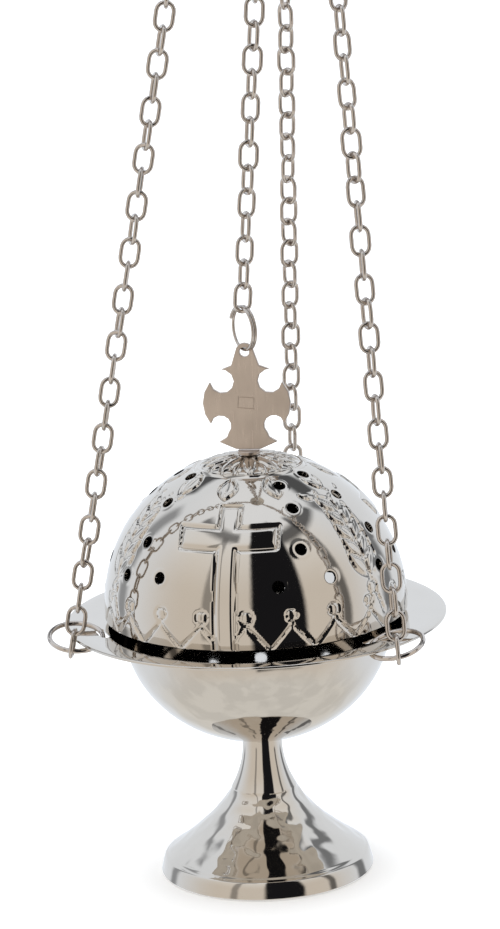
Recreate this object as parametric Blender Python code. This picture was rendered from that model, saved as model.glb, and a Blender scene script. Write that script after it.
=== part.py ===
"""A small hanging thurible: a footed bowl with a broad flat flange, a pierced domed lid with a
cross finial, three side chains hooked to rings in the flange, and a fourth chain that lifts the lid.

Lengths are in metres.  Heights (z) are measured from the underside of the foot, and the whole
model is then moved so that its origin is where the hand ring is held.
"""

import math

import bmesh
import bpy
from mathutils import Matrix, Vector

MM = 0.001
GAP = 0.3 * MM              # between pieces that touch
ROUND = 40                  # facets round the big turned pieces
SMALL_ROUND = 16            # facets round small turned pieces and holes
WIRE_SIDES = 1              # bevel_resolution of small wire: 6 sides
RING_POINTS = 24            # points round a ring

# ---- foot
FOOT_RADIUS = 33.4 * MM
FOOT_BAND = 5.4 * MM        # height of the upright band at the base
FOOT_BAND_TAPER = 1.3 * MM
FOOT_STEP = 1.3 * MM        # narrow ledge above the band
NECK_RADIUS = 6.2 * MM
FOOT_CURVE = 2.1            # power of the trumpet's curve
FOOT_WALL = 1.2 * MM
FOOT_TOP_WALL = 1.5 * MM
FOOT_HEIGHT = 42.2 * MM

# ---- bowl and flange
BOWL_RADIUS = 42.2 * MM
BOWL_DEPTH = 39.2 * MM      # outside, from the flange's middle to the bottom
BOWL_WALL = 1.0 * MM
FLANGE_RADIUS = 59.0 * MM
FLANGE_THICK = 1.0 * MM
SCREW_RADIUS = 1.6 * MM
SCREW_HOLE_RADIUS = SCREW_RADIUS + GAP
SCREW_HEAD_RADIUS = 3.0 * MM
SCREW_HEAD_THICK = 1.8 * MM
NUT_RADIUS = 3.4 * MM       # to the corners
NUT_THICK = 2.4 * MM

# ---- charcoal cup, which stands inside the bowl on its rim
CUP_RIM_DROP = 8.5 * MM     # below the flange
CUP_RADIUS = 30.0 * MM
CUP_DEPTH = 20.0 * MM
CUP_WALL = 0.9 * MM

# ---- lid
DOME_RADIUS = 47.0 * MM
DOME_RISE = 2.4 * MM        # upright wall below the dome
LID_HANG = 1.5 * MM         # the taut lid chain holds the lid this far above the flange
DOME_WALL = 1.0 * MM
VENT_RADIUS = 1.95 * MM
SECTORS = 3                 # the lid's pattern repeats three times
PATTERN_TURN = math.radians(-12)
# each vent: latitude above the lid's edge and turn from the start of its sector, in degrees
VENTS = ((20, 21), (21, 43), (33, 33), (50, 36), (20, 71), (22, 91), (34, 77), (51, 73), (62, 35), (65, 66))

# ---- finial
BOSS_RADIUS = 3.5 * MM
BOSS_THICK = 1.1 * MM
STUD_RADIUS = 1.5 * MM
STUD_HOLE_RADIUS = STUD_RADIUS + GAP
CROSS_THICK = 1.5 * MM
CROSS_HEIGHT = 33.2 * MM
CROSS_EYE_RADIUS = 1.5 * MM
CROSS_EYE_EDGE = 2.8 * MM   # from the eye's middle to the top of the cross
SPLIT_RING_RADIUS = 6.7 * MM
SPLIT_RING_WIRE = 0.55 * MM
SPLIT_RING_TURN = math.radians(28)

# ---- rings in the flange and the chains
RING_RADIUS = 8.2 * MM
RING_WIRE = 0.8 * MM
RING_REACH = 54.4 * MM      # from the axis to the inside of the link on a ring
RING_TILT = math.radians(16)
SIDES = ("left", "right", "back")
SIDE_TURN = (math.radians(-164), math.radians(-44), math.radians(76))
LOW_SIDE = (1, -1, 1)       # which side of a ring lies lower
HOOK_TURN = (math.radians(66), math.radians(-46), math.radians(20))
RING_SLOT_LENGTH = 10.5 * MM
RING_SLOT_WIDTH = 2.8 * MM

LINK_LENGTH = 9.8 * MM
LINK_WIDTH = 6.6 * MM
RING_PLACE = RING_REACH + LINK_WIDTH / 2    # from the axis to a ring's middle
LINK_WIRE = 0.675 * MM

# ---- chain cap, its eye and the rings above it
CAP_HEIGHT = 355.0 * MM
CAP_SHIFT = 15.0 * MM       # the chains lean this far towards +X at the cap
CAP_CHAIN_RADIUS = 18.0 * MM
CAP_EDGE = 0.6 * MM         # from the chains' circle out to the cap's edge
CAP_THICK = 1.4 * MM
CAP_HOLE_RADIUS = 1.5 * MM
LID_CHAIN_BACK = CAP_CHAIN_RADIUS * 4 / 9   # from the cap's middle to the lid chain's hole
LID_CHAIN_PLAY = 0.8 * MM
EYE_RADIUS = 4.0 * MM
EYE_WIRE = 0.9 * MM
EYE_COLLAR_RADIUS = 2.8 * MM
EYE_COLLAR_THICK = 1.6 * MM
CAP_STUD_RADIUS = 1.4 * MM
CAP_NUT_RADIUS = 3.0 * MM
CAP_NUT_THICK = 2.0 * MM
HAND_RING_RADIUS = 16.5 * MM
HAND_RING_WIRE = 1.5 * MM
LIFT_RING_RADIUS = 6.0 * MM
LIFT_RING_WIRE = 0.8 * MM

# ---- levels worked out from the sizes above
BOWL_BOTTOM = FOOT_HEIGHT + GAP
FLANGE_MIDDLE = BOWL_BOTTOM + BOWL_DEPTH
FLANGE_TOP = FLANGE_MIDDLE + FLANGE_THICK / 2
LID_BOTTOM = FLANGE_TOP + LID_HANG
DOME_MIDDLE = LID_BOTTOM + DOME_RISE
DOME_TOP = DOME_MIDDLE + DOME_RADIUS
BOSS_BOTTOM = DOME_TOP + GAP
CROSS_BOTTOM = BOSS_BOTTOM + BOSS_THICK + GAP
CROSS_EYE = CROSS_BOTTOM + CROSS_HEIGHT - CROSS_EYE_EDGE
CAP_MIDDLE = Vector((CAP_SHIFT, 0, CAP_HEIGHT))
UP = Vector((0, 0, 1))


# ---------------------------------------------------------------- the scene and its materials

def empty_scene():
    for old in list(bpy.data.objects):
        bpy.data.objects.remove(old, do_unlink=True)


def metal(name, colour, roughness):
    material = bpy.data.materials.new(name)
    material.use_nodes = True
    shader = material.node_tree.nodes["Principled BSDF"]
    shader.inputs["Base Color"].default_value = (*colour, 1)
    shader.inputs["Metallic"].default_value = 1
    shader.inputs["Roughness"].default_value = roughness
    material.diffuse_color = (*colour, 1)
    return material


def add(name, data, material, parent, place=None):
    """One named sub-part, hung from its parent."""
    piece = bpy.data.objects.new(name, data)
    bpy.context.scene.collection.objects.link(piece)
    data.materials.append(material)
    piece.parent = parent
    if place is not None:
        piece.matrix_local = place
    return piece


def cutter(name, data, parent, place=None):
    """A shape that only cuts or joins others."""
    tool = bpy.data.objects.new(name, data)
    bpy.context.scene.collection.objects.link(tool)
    tool.parent = parent
    if place is not None:
        tool.matrix_local = place
    tool.hide_render = True
    tool.display_type = "WIRE"
    return tool


def boolean(piece, tool, operation="DIFFERENCE"):
    modifier = piece.modifiers.new(operation.lower(), "BOOLEAN")
    modifier.operation = operation
    modifier.object = tool
    modifier.solver = "EXACT"


# ---------------------------------------------------------------- shapes

def finish_mesh(bm, name):
    bmesh.ops.recalc_face_normals(bm, faces=bm.faces)
    mesh = bpy.data.meshes.new(name)
    bm.to_mesh(mesh)
    bm.free()
    mesh.shade_smooth()
    mesh.set_sharp_from_angle(angle=math.radians(35))
    return mesh


def turned(name, outline, facets):
    """A solid turned about Z from a closed outline of (radius, height) points."""
    bm = bmesh.new()
    ring = [bm.verts.new((radius, 0, height)) for radius, height in outline]
    edges = [bm.edges.new((a, b)) for a, b in zip(ring, ring[1:] + ring[:1])]
    bmesh.ops.spin(bm, geom=ring + edges, cent=(0, 0, 0), axis=(0, 0, 1), angle=math.tau,
                   steps=facets, use_merge=True, use_duplicate=False)
    bmesh.ops.remove_doubles(bm, verts=bm.verts, dist=0.001 * MM)
    bmesh.ops.dissolve_degenerate(bm, edges=bm.edges, dist=0.0005 * MM)
    return finish_mesh(bm, name)


def prism(name, outline, depth):
    """A closed outline of (x, z) points, extruded along Y about y = 0."""
    bm = bmesh.new()
    corners = [bm.verts.new((x, -depth / 2, z)) for x, z in outline]
    face = bm.faces.new(corners)
    moved = bmesh.ops.extrude_face_region(bm, geom=[face])["geom"]
    bmesh.ops.translate(bm, verts=[v for v in moved if isinstance(v, bmesh.types.BMVert)], vec=(0, depth, 0))
    return finish_mesh(bm, name)


def rod(name, radius, length, facets, start=0.0):
    """A plain round or many-sided bar along Z from start."""
    bm = bmesh.new()
    bmesh.ops.create_cone(bm, cap_ends=True, segments=facets, radius1=radius, radius2=radius, depth=length)
    bmesh.ops.translate(bm, verts=bm.verts, vec=(0, 0, start + length / 2))
    return finish_mesh(bm, name)


def wire_loop(name, points, radius, sides):
    """Round wire bent along a closed line."""
    curve = bpy.data.curves.new(name, "CURVE")
    curve.dimensions = "3D"
    curve.bevel_depth = radius
    curve.bevel_resolution = sides
    line = curve.splines.new("POLY")
    line.points.add(len(points) - 1)
    for knot, point in zip(line.points, points):
        knot.co = (*point, 1)
    line.use_cyclic_u = True
    return curve


def ring_curve(name, radius, wire, points=RING_POINTS, sides=WIRE_SIDES):
    """A ring of wire standing in the XZ plane."""
    line = [(radius * math.sin(math.tau * i / points), 0, radius * math.cos(math.tau * i / points))
            for i in range(points)]
    return wire_loop(name, line, wire, sides)


def link_curve(name):
    """One chain link standing in the XZ plane."""
    side = LINK_WIDTH / 2 - LINK_WIRE
    straight = LINK_LENGTH / 2 - LINK_WIDTH / 2
    bends = 8
    line = []
    for end in (1, -1):
        for i in range(bends + 1):
            turn = math.pi * i / bends
            line.append((end * side * math.cos(turn), 0, end * (straight + side * math.sin(turn))))
    return wire_loop(name, line, LINK_WIRE, WIRE_SIDES)


def frame_at(point, along, across):
    """A frame at point with Z along, and X as near across as it can be."""
    z_axis = along.normalized()
    x_axis = (across - z_axis * across.dot(z_axis)).normalized()
    y_axis = z_axis.cross(x_axis)
    rotation = Matrix((x_axis, y_axis, z_axis)).transposed().to_4x4()
    return Matrix.Translation(point) @ rotation


def arc(middle, radius, start, end, count):
    """Points along an arc; turns are in degrees, anticlockwise from +x."""
    turns = [math.radians(start + (end - start) * i / count) for i in range(count + 1)]
    return [(middle[0] + radius * math.cos(turn), middle[1] + radius * math.sin(turn)) for turn in turns]


# ---------------------------------------------------------------- bowl, foot and cup

def foot_radius_at(height, inset=0.0):
    """The trumpet's outside radius, or its inside radius when inset is the wall."""
    start = FOOT_BAND + FOOT_STEP / 2
    share = (height - start) / (FOOT_HEIGHT * 0.98 - start)
    ledge = FOOT_RADIUS - FOOT_BAND_TAPER - FOOT_STEP
    spread = (ledge - NECK_RADIUS) * max(0.0, 1 - share) ** FOOT_CURVE
    return NECK_RADIUS + spread - inset


def make_foot(metal_finish, frame):
    steps = 10
    start = FOOT_BAND + FOOT_STEP / 2
    heights = [start + (FOOT_HEIGHT - start) * i / steps for i in range(steps + 1)]
    band_top = FOOT_RADIUS - FOOT_BAND_TAPER
    outside = [(FOOT_RADIUS, 0), (band_top, FOOT_BAND)]
    outside += [(foot_radius_at(height), height) for height in heights]
    ceiling = FOOT_HEIGHT - FOOT_TOP_WALL
    inner_heights = [height for height in heights if height < ceiling - MM]
    inside = [(FOOT_RADIUS - FOOT_WALL, 0), (band_top - FOOT_WALL, FOOT_BAND - FOOT_WALL)]
    inside += [(foot_radius_at(height, FOOT_WALL), height - FOOT_WALL) for height in inner_heights]
    inside.append((NECK_RADIUS - FOOT_WALL, ceiling))
    outline = outside + [(SCREW_HOLE_RADIUS, FOOT_HEIGHT), (SCREW_HOLE_RADIUS, ceiling)] + inside[::-1]
    add("foot", turned("foot", outline, ROUND), metal_finish, frame)


def bowl_radius_at(height, inset=0.0):
    depth = (FLANGE_MIDDLE - height) / (BOWL_DEPTH - inset)
    return (BOWL_RADIUS - inset) * math.sqrt(max(0.0, 1 - depth * depth))


def bowl_curve(inset, count):
    """Points down the bowl's side to its screw hole."""
    wide, deep = BOWL_RADIUS - inset, BOWL_DEPTH - inset
    last = math.acos(SCREW_HOLE_RADIUS / wide)
    turns = [last * (i + 1) / count for i in range(count)]
    return [(wide * math.cos(turn), FLANGE_MIDDLE - deep * math.sin(turn)) for turn in turns]


def ring_frame(index):
    """Where a flange ring's middle is, with Z across the ring and X pointing outwards."""
    turn = SIDE_TURN[index]
    outward = Vector((math.cos(turn), math.sin(turn), 0))
    sideways = Vector((-math.sin(turn), math.cos(turn), 0))
    normal = UP * math.cos(RING_TILT) + sideways * math.sin(RING_TILT) * LOW_SIDE[index]
    middle = outward * RING_PLACE + UP * FLANGE_MIDDLE
    return frame_at(middle, normal, outward)


def make_bowl(metal_finish, frame):
    under = FLANGE_MIDDLE - FLANGE_THICK / 2
    outside = [point for point in bowl_curve(0, 12) if point[1] < under]
    inside = [point for point in bowl_curve(BOWL_WALL, 12) if point[1] < under]
    rim = [(BOWL_RADIUS - BOWL_WALL, FLANGE_TOP), (FLANGE_RADIUS, FLANGE_TOP), (FLANGE_RADIUS, under),
           (BOWL_RADIUS, under)]
    bowl = add("bowl", turned("bowl", rim + outside + inside[::-1], ROUND), metal_finish, frame)
    for index, side in enumerate(SIDES):
        turn = SIDE_TURN[index]
        bm = bmesh.new()
        bmesh.ops.create_cube(bm, size=1)
        bmesh.ops.scale(bm, verts=bm.verts, vec=(RING_SLOT_WIDTH, RING_SLOT_LENGTH, FLANGE_THICK * 4))
        slot = finish_mesh(bm, "slot")
        place = Matrix.Rotation(turn, 4, "Z") @ Matrix.Translation((RING_PLACE - RING_RADIUS, 0, FLANGE_MIDDLE))
        boolean(bowl, cutter("slot_cutter_" + side, slot, frame, place))


def make_foot_fasteners(steel, frame):
    head_top = FOOT_HEIGHT - FOOT_TOP_WALL - GAP
    nut_bottom = BOWL_BOTTOM + BOWL_WALL + 2 * GAP
    screw_top = nut_bottom + NUT_THICK + MM
    outline = [(0, head_top - SCREW_HEAD_THICK), (SCREW_HEAD_RADIUS, head_top - SCREW_HEAD_THICK),
               (SCREW_HEAD_RADIUS, head_top), (SCREW_RADIUS, head_top), (SCREW_RADIUS, screw_top), (0, screw_top)]
    add("foot_screw", turned("foot_screw", outline, SMALL_ROUND), steel, frame)
    add_nut("foot_nut", NUT_RADIUS, NUT_THICK, SCREW_RADIUS + GAP, nut_bottom, steel, frame)


def add_nut(name, radius, thick, bore, bottom, steel, frame, middle=(0, 0)):
    """A six-sided nut."""
    nut = add(name, rod(name, radius, thick, 6, bottom), steel, frame,
              Matrix.Translation((middle[0], middle[1], 0)))
    hole = cutter(name + "_bore", rod("bore", bore, thick * 3, SMALL_ROUND, bottom - thick), frame,
                  Matrix.Translation((middle[0], middle[1], 0)))
    boolean(nut, hole)


def make_cup(iron, frame):
    rim = FLANGE_MIDDLE - CUP_RIM_DROP
    edge = bowl_radius_at(rim, BOWL_WALL) - 2 * GAP
    turns = [math.pi / 2 * i / 8 for i in range(1, 9)]
    outside = [(CUP_RADIUS * math.cos(t), rim - CUP_DEPTH * math.sin(t)) for t in turns[:-1]]
    inner_radius, inner_depth = CUP_RADIUS - CUP_WALL, CUP_DEPTH - CUP_WALL
    inside = [(inner_radius * math.cos(t), rim - inner_depth * math.sin(t)) for t in turns[:-1]]
    outline = [(edge, rim), (CUP_RADIUS, rim)] + outside + [(0, rim - CUP_DEPTH), (0, rim - inner_depth)]
    outline += inside[::-1] + [(inner_radius, rim + CUP_WALL), (edge + GAP, rim + CUP_WALL)]
    add("charcoal_cup", turned("charcoal_cup", outline, ROUND), iron, frame)


# ---------------------------------------------------------------- lid and finial

def dome_curve(radius, count):
    """From the lid's edge up to the hole in its crown."""
    last = math.acos(STUD_HOLE_RADIUS / radius)
    turns = [last * i / count for i in range(count + 1)]
    return [(radius * math.cos(turn), DOME_MIDDLE + radius * math.sin(turn)) for turn in turns]


def vent_direction(latitude, turn):
    up, round_ = math.radians(latitude), math.radians(turn)
    return Vector((math.sin(round_) * math.cos(up), -math.cos(round_) * math.cos(up), math.sin(up)))


def make_lid(metal_finish, frame):
    outer, inner = dome_curve(DOME_RADIUS, 12), dome_curve(DOME_RADIUS - DOME_WALL, 12)
    outline = [(DOME_RADIUS, LID_BOTTOM)] + outer + inner[::-1] + [(DOME_RADIUS - DOME_WALL, LID_BOTTOM)]
    lid = add("lid", turned("lid", outline, ROUND), metal_finish, frame)
    bm = bmesh.new()
    middle = Vector((0, 0, DOME_MIDDLE))
    for sector in range(SECTORS):
        for latitude, turn in VENTS:
            way = vent_direction(latitude, turn + math.degrees(PATTERN_TURN) + 360 * sector / SECTORS)
            place = frame_at(middle + way * DOME_RADIUS, way, UP)
            bmesh.ops.create_cone(bm, cap_ends=True, segments=8, radius1=VENT_RADIUS, radius2=VENT_RADIUS,
                                  depth=DOME_WALL * 6, matrix=place)
    boolean(lid, cutter("vent_cutter", finish_mesh(bm, "vents"), frame))


def cross_outline():
    """The right half of the cross, from its foot to its crown, as (x, height) points."""
    base = [(3.8, 0), (9.0, 2.3), (6.6, 3.7)]
    lower = arc((8.3, 7.4), 3.2, 225, 50, 6)
    arm = arc((3.2, 14.4), 10.4, -38, 39.5, 4)
    upper = arc((7.4, 21.3), 3.7, -8, -250, 7)
    spike = [(7.4, 25.0), (4.3, 26.2)]
    crown = arc((0, CROSS_HEIGHT / MM - CROSS_EYE_EDGE / MM), CROSS_EYE_EDGE / MM, 8, 90, 4)
    return [(x * MM, z * MM) for x, z in base + lower + arm + upper + spike + crown]


def make_finial(satin, steel, frame):
    stud_bottom = DOME_TOP - DOME_WALL - NUT_THICK - MM
    outline = [(0, stud_bottom), (STUD_RADIUS, stud_bottom), (STUD_RADIUS, BOSS_BOTTOM),
               (BOSS_RADIUS, BOSS_BOTTOM), (BOSS_RADIUS, BOSS_BOTTOM + BOSS_THICK), (0, BOSS_BOTTOM + BOSS_THICK)]
    add("finial_boss", turned("finial_boss", outline, SMALL_ROUND), satin, frame)
    nut_bottom = DOME_TOP - DOME_WALL - 2 * GAP - NUT_THICK
    add_nut("finial_nut", NUT_RADIUS, NUT_THICK, STUD_RADIUS + GAP, nut_bottom, steel, frame)

    half = cross_outline()
    outline = half + [(-x, z) for x, z in half[:-1][::-1]]
    cross = add("finial_cross", prism("finial_cross", outline, CROSS_THICK), satin, frame,
                Matrix.Translation((0, 0, CROSS_BOTTOM)))
    across = Matrix.Translation((0, 0, CROSS_EYE)) @ Matrix.Rotation(math.pi / 2, 4, "X")
    hole = rod("eye", CROSS_EYE_RADIUS, CROSS_THICK * 4, SMALL_ROUND, -CROSS_THICK * 2)
    boolean(cross, cutter("cross_eye_cutter", hole, frame, across))


# ---------------------------------------------------------------- chains

def split_ring_middle():
    lowest = CROSS_EYE + CROSS_EYE_RADIUS - GAP - SPLIT_RING_WIRE
    return Vector((0, 0, lowest + SPLIT_RING_RADIUS))


def hook_point(index):
    """Where a side chain hooks its flange ring: the wire's middle, and the wire's own direction."""
    turn, place = HOOK_TURN[index], ring_frame(index)
    out = place.to_3x3() @ Vector((math.cos(turn), math.sin(turn), 0))
    wire = place.to_3x3() @ Vector((-math.sin(turn), math.cos(turn), 0))
    return place.translation + out * RING_RADIUS, wire


def strand(name, start, end, across, metal_finish, frame):
    """The run of links between a chain's end links, as the plus-shaped bar that they fill."""
    wide, thin = LINK_WIDTH / 2, LINK_WIRE
    outline = []
    for quarter in range(4):
        turn = Matrix.Rotation(quarter * math.pi / 2, 2)
        outline += [turn @ Vector(corner) for corner in ((wide, -thin), (wide, thin), (thin, thin))]
    length = (end - start).length
    bm = bmesh.new()
    face = bm.faces.new([bm.verts.new((x, y, 0)) for x, y in outline])
    moved = bmesh.ops.extrude_face_region(bm, geom=[face])["geom"]
    bmesh.ops.translate(bm, verts=[v for v in moved if isinstance(v, bmesh.types.BMVert)], vec=(0, 0, length))
    add(name, finish_mesh(bm, name), metal_finish, frame, frame_at(start, end - start, across))


def make_chain(name, hook, hook_wire, wire_way, top_middle, top_across, metal_finish, frame):
    """End links and the strand between them, from a hook's wire to the top link's middle."""
    reach = LINK_LENGTH / 2
    way = (top_middle - hook).normalized()
    low_middle = hook - way * (hook_wire + GAP + 2 * LINK_WIRE) + way * reach
    across = way.cross(wire_way)
    add(name + "_low_link", link_curve(name + "_low_link"), metal_finish, frame, frame_at(low_middle, way, across))
    add(name + "_top_link", link_curve(name + "_top_link"), metal_finish, frame, frame_at(top_middle, way, top_across))
    start, end = low_middle + way * (reach + GAP), top_middle - way * (reach + GAP)
    strand(name, start, end, across, metal_finish, frame)
    return way


def cap_point(index, radius):
    """A point on the cap's middle plane, in the direction of a side chain."""
    turn = SIDE_TURN[index]
    return CAP_MIDDLE + Vector((math.cos(turn), math.sin(turn), 0)) * radius


def make_side_chains(metal_finish, frame):
    for index, side in enumerate(SIDES):
        name = "chain_" + side
        place = ring_frame(index)
        ring = ring_curve("rim_ring_" + side, RING_RADIUS, RING_WIRE)
        add("rim_ring_" + side, ring, metal_finish, frame, place @ Matrix.Rotation(math.pi / 2, 4, "X"))
        hook, wire_way = hook_point(index)
        outward = cap_point(index, 1) - CAP_MIDDLE
        seat = cap_point(index, CAP_CHAIN_RADIUS)
        down = (hook - seat).normalized()
        drop = LINK_LENGTH / 2 - 2 * LINK_WIRE - CAP_THICK / 2 - 2 * GAP
        make_chain(name, hook, RING_WIRE, wire_way, seat + down * drop, outward, metal_finish, frame)


def lid_chain_hole():
    return CAP_MIDDLE + Vector((0, LID_CHAIN_BACK, 0))


def make_lid_chain(metal_finish, frame):
    middle = split_ring_middle()
    turn = Matrix.Rotation(SPLIT_RING_TURN + math.pi / 2, 4, "Z")
    ring = ring_curve("split_ring", SPLIT_RING_RADIUS, SPLIT_RING_WIRE)
    add("split_ring", ring, metal_finish, frame, Matrix.Translation(middle) @ turn)
    hook = middle + UP * SPLIT_RING_RADIUS
    wire_way = turn.to_3x3() @ Vector((1, 0, 0))
    hole = lid_chain_hole()
    way = (hole - hook).normalized()
    top = hole + way * (CAP_THICK + LINK_LENGTH / 2 + GAP)
    side = Vector((0, 1, 0))
    make_chain("chain_lid", hook, SPLIT_RING_WIRE, wire_way, top, side, metal_finish, frame)
    top_wire = top + way * (LINK_LENGTH / 2 - LINK_WIRE)
    ring_middle = top_wire - way * (LINK_WIRE + GAP + LIFT_RING_WIRE) + way * LIFT_RING_RADIUS
    lift = ring_curve("lift_ring", LIFT_RING_RADIUS, LIFT_RING_WIRE)
    add("lift_ring", lift, metal_finish, frame, frame_at(ring_middle, way, Vector((1, 0, 0))))


# ---------------------------------------------------------------- cap and hand ring

def eye_middle():
    collar_top = CAP_HEIGHT + CAP_THICK / 2 + GAP + EYE_COLLAR_THICK
    return CAP_MIDDLE.xy.to_3d() + UP * (collar_top + EYE_RADIUS + EYE_WIRE * 0.5)


def hand_ring_low():
    """The middle of the hand ring's wire where the eye hangs on it: the swing's axis passes here."""
    return eye_middle() + UP * (EYE_RADIUS - EYE_WIRE - GAP - HAND_RING_WIRE)


def make_cap(metal_finish, steel, frame):
    edge = CAP_CHAIN_RADIUS + CAP_EDGE
    half = CAP_THICK / 2
    outline = [(0, -half), (edge - half, -half), (edge, 0), (edge - half, half), (0, half)]
    cap = add("chain_cap", turned("chain_cap", outline, ROUND), metal_finish, frame, Matrix.Translation(CAP_MIDDLE))
    holes = [(cap_point(index, CAP_CHAIN_RADIUS - LINK_WIDTH / 2 + LINK_WIRE), CAP_HOLE_RADIUS)
             for index in range(len(SIDES))]
    holes.append((lid_chain_hole(), LINK_WIDTH / 2 + LID_CHAIN_PLAY))
    holes.append((CAP_MIDDLE, CAP_STUD_RADIUS + GAP))
    bm = bmesh.new()
    for middle, radius in holes:
        bmesh.ops.create_cone(bm, cap_ends=True, segments=SMALL_ROUND, radius1=radius, radius2=radius,
                              depth=CAP_THICK * 4, matrix=Matrix.Translation(middle))
    boolean(cap, cutter("cap_hole_cutter", finish_mesh(bm, "cap_holes"), frame))

    above, below = CAP_HEIGHT + half + GAP, CAP_HEIGHT - half - GAP
    nut_bottom = below - CAP_NUT_THICK
    stud_bottom = nut_bottom - MM
    outline = [(0, stud_bottom), (CAP_STUD_RADIUS, stud_bottom), (CAP_STUD_RADIUS, above),
               (EYE_COLLAR_RADIUS, above), (EYE_COLLAR_RADIUS, above + EYE_COLLAR_THICK),
               (0, above + EYE_COLLAR_THICK)]
    upright = Matrix.Translation((CAP_SHIFT, 0, 0))
    eye = add("cap_eye", turned("cap_eye", outline, SMALL_ROUND), metal_finish, frame, upright)
    loop = ring_curve("eye_loop", EYE_RADIUS, EYE_WIRE)
    facing = Matrix.Translation(eye_middle()) @ Matrix.Rotation(math.pi / 2, 4, "Z")
    boolean(eye, cutter("eye_loop", mesh_of(loop), frame, facing), "UNION")
    add_nut("cap_nut", CAP_NUT_RADIUS, CAP_NUT_THICK, CAP_STUD_RADIUS + GAP, nut_bottom, steel, frame,
            (CAP_SHIFT, 0))


def mesh_of(curve):
    """A curve's surface as a mesh, for a Boolean."""
    carrier = bpy.data.objects.new("carrier", curve)
    mesh = bpy.data.meshes.new_from_object(carrier)
    bpy.data.objects.remove(carrier)
    return mesh


def make_hand_ring(metal_finish, frame):
    middle = hand_ring_low() + UP * HAND_RING_RADIUS
    ring = ring_curve("hand_ring", HAND_RING_RADIUS, HAND_RING_WIRE, 32, 2)
    add("hand_ring", ring, metal_finish, frame, Matrix.Translation(middle))


def held_point():
    """Under the top of the hand ring, where a finger or hook carries it."""
    return hand_ring_low() + UP * (2 * HAND_RING_RADIUS - HAND_RING_WIRE)


def main():
    empty_scene()
    polished = metal("polished_nickel", (0.78, 0.74, 0.70), 0.07)
    satin = metal("satin_nickel", (0.62, 0.56, 0.51), 0.30)
    chain = metal("chain_nickel", (0.66, 0.60, 0.56), 0.22)
    steel = metal("plain_steel", (0.45, 0.45, 0.46), 0.35)
    iron = metal("cup_iron", (0.12, 0.115, 0.11), 0.60)
    frame = bpy.data.objects.new("thurible", None)
    bpy.context.scene.collection.objects.link(frame)
    frame.location = -held_point()
    make_foot(polished, frame)
    make_bowl(polished, frame)
    make_foot_fasteners(steel, frame)
    make_cup(iron, frame)
    make_lid(polished, frame)
    make_finial(satin, steel, frame)
    make_side_chains(chain, frame)
    make_lid_chain(chain, frame)
    make_cap(chain, steel, frame)
    make_hand_ring(chain, frame)
    bpy.context.view_layer.update()


main()
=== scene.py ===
"""Looks for the hanging thurible: polished shells with chased and hammered work, and real chain."""

import math
import random

import bmesh
import bpy
import numpy as np
from bpy.props import FloatProperty, FloatVectorProperty, IntProperty, PointerProperty
from mathutils import Matrix, Vector


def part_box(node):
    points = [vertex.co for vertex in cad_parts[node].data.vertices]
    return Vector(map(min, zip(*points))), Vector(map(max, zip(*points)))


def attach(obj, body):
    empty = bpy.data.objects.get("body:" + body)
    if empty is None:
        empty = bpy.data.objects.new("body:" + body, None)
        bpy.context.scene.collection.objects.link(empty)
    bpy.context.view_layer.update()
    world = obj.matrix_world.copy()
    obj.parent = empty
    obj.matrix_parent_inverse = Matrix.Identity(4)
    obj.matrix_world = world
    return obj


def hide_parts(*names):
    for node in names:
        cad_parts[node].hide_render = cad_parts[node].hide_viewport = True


bl_info = {
    "name": "Hanging Thurible",
    "version": (1, 0, 0),
    "blender": (4, 5, 0),
    "location": "View3D > Sidebar > Thurible",
    "description": "Models and finishes a small chained incense burner round its working frame",
    "category": "Add Mesh",
}

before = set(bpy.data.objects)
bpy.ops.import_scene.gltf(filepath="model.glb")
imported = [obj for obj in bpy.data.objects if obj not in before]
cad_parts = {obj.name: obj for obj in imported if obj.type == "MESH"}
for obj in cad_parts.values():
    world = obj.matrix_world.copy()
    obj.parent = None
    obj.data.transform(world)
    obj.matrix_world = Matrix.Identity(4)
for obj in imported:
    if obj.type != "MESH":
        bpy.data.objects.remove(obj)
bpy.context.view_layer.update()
MM = 0.001
UP = Vector((0, 0, 1))
SIDES = ("left", "right", "back")


def box_of(node):
    low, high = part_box(node)
    return Vector(low), Vector(high)


LID_LOW, LID_HIGH = box_of("lid")
BOWL_LOW, BOWL_HIGH = box_of("bowl")
FOOT_LOW, FOOT_HIGH = box_of("foot")
CUP_LOW, CUP_HIGH = box_of("charcoal_cup")
AXIS = Vector(((LID_LOW.x + LID_HIGH.x) / 2, (LID_LOW.y + LID_HIGH.y) / 2, 0))
DOME_RADIUS = (LID_HIGH.x - LID_LOW.x) / 2
CROWN_HOLE = 1.8 * MM
DOME_MIDDLE = LID_HIGH.z - math.sqrt(DOME_RADIUS ** 2 - CROWN_HOLE ** 2)
FLANGE_RADIUS = (BOWL_HIGH.x - BOWL_LOW.x) / 2
FLANGE_THICK = 1.0 * MM
FLANGE_MIDDLE = BOWL_HIGH.z - FLANGE_THICK / 2
BOWL_DEPTH = FLANGE_MIDDLE - BOWL_LOW.z
FOOT_RADIUS = (FOOT_HIGH.x - FOOT_LOW.x) / 2
FOOT_HEIGHT = FOOT_HIGH.z - FOOT_LOW.z

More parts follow.
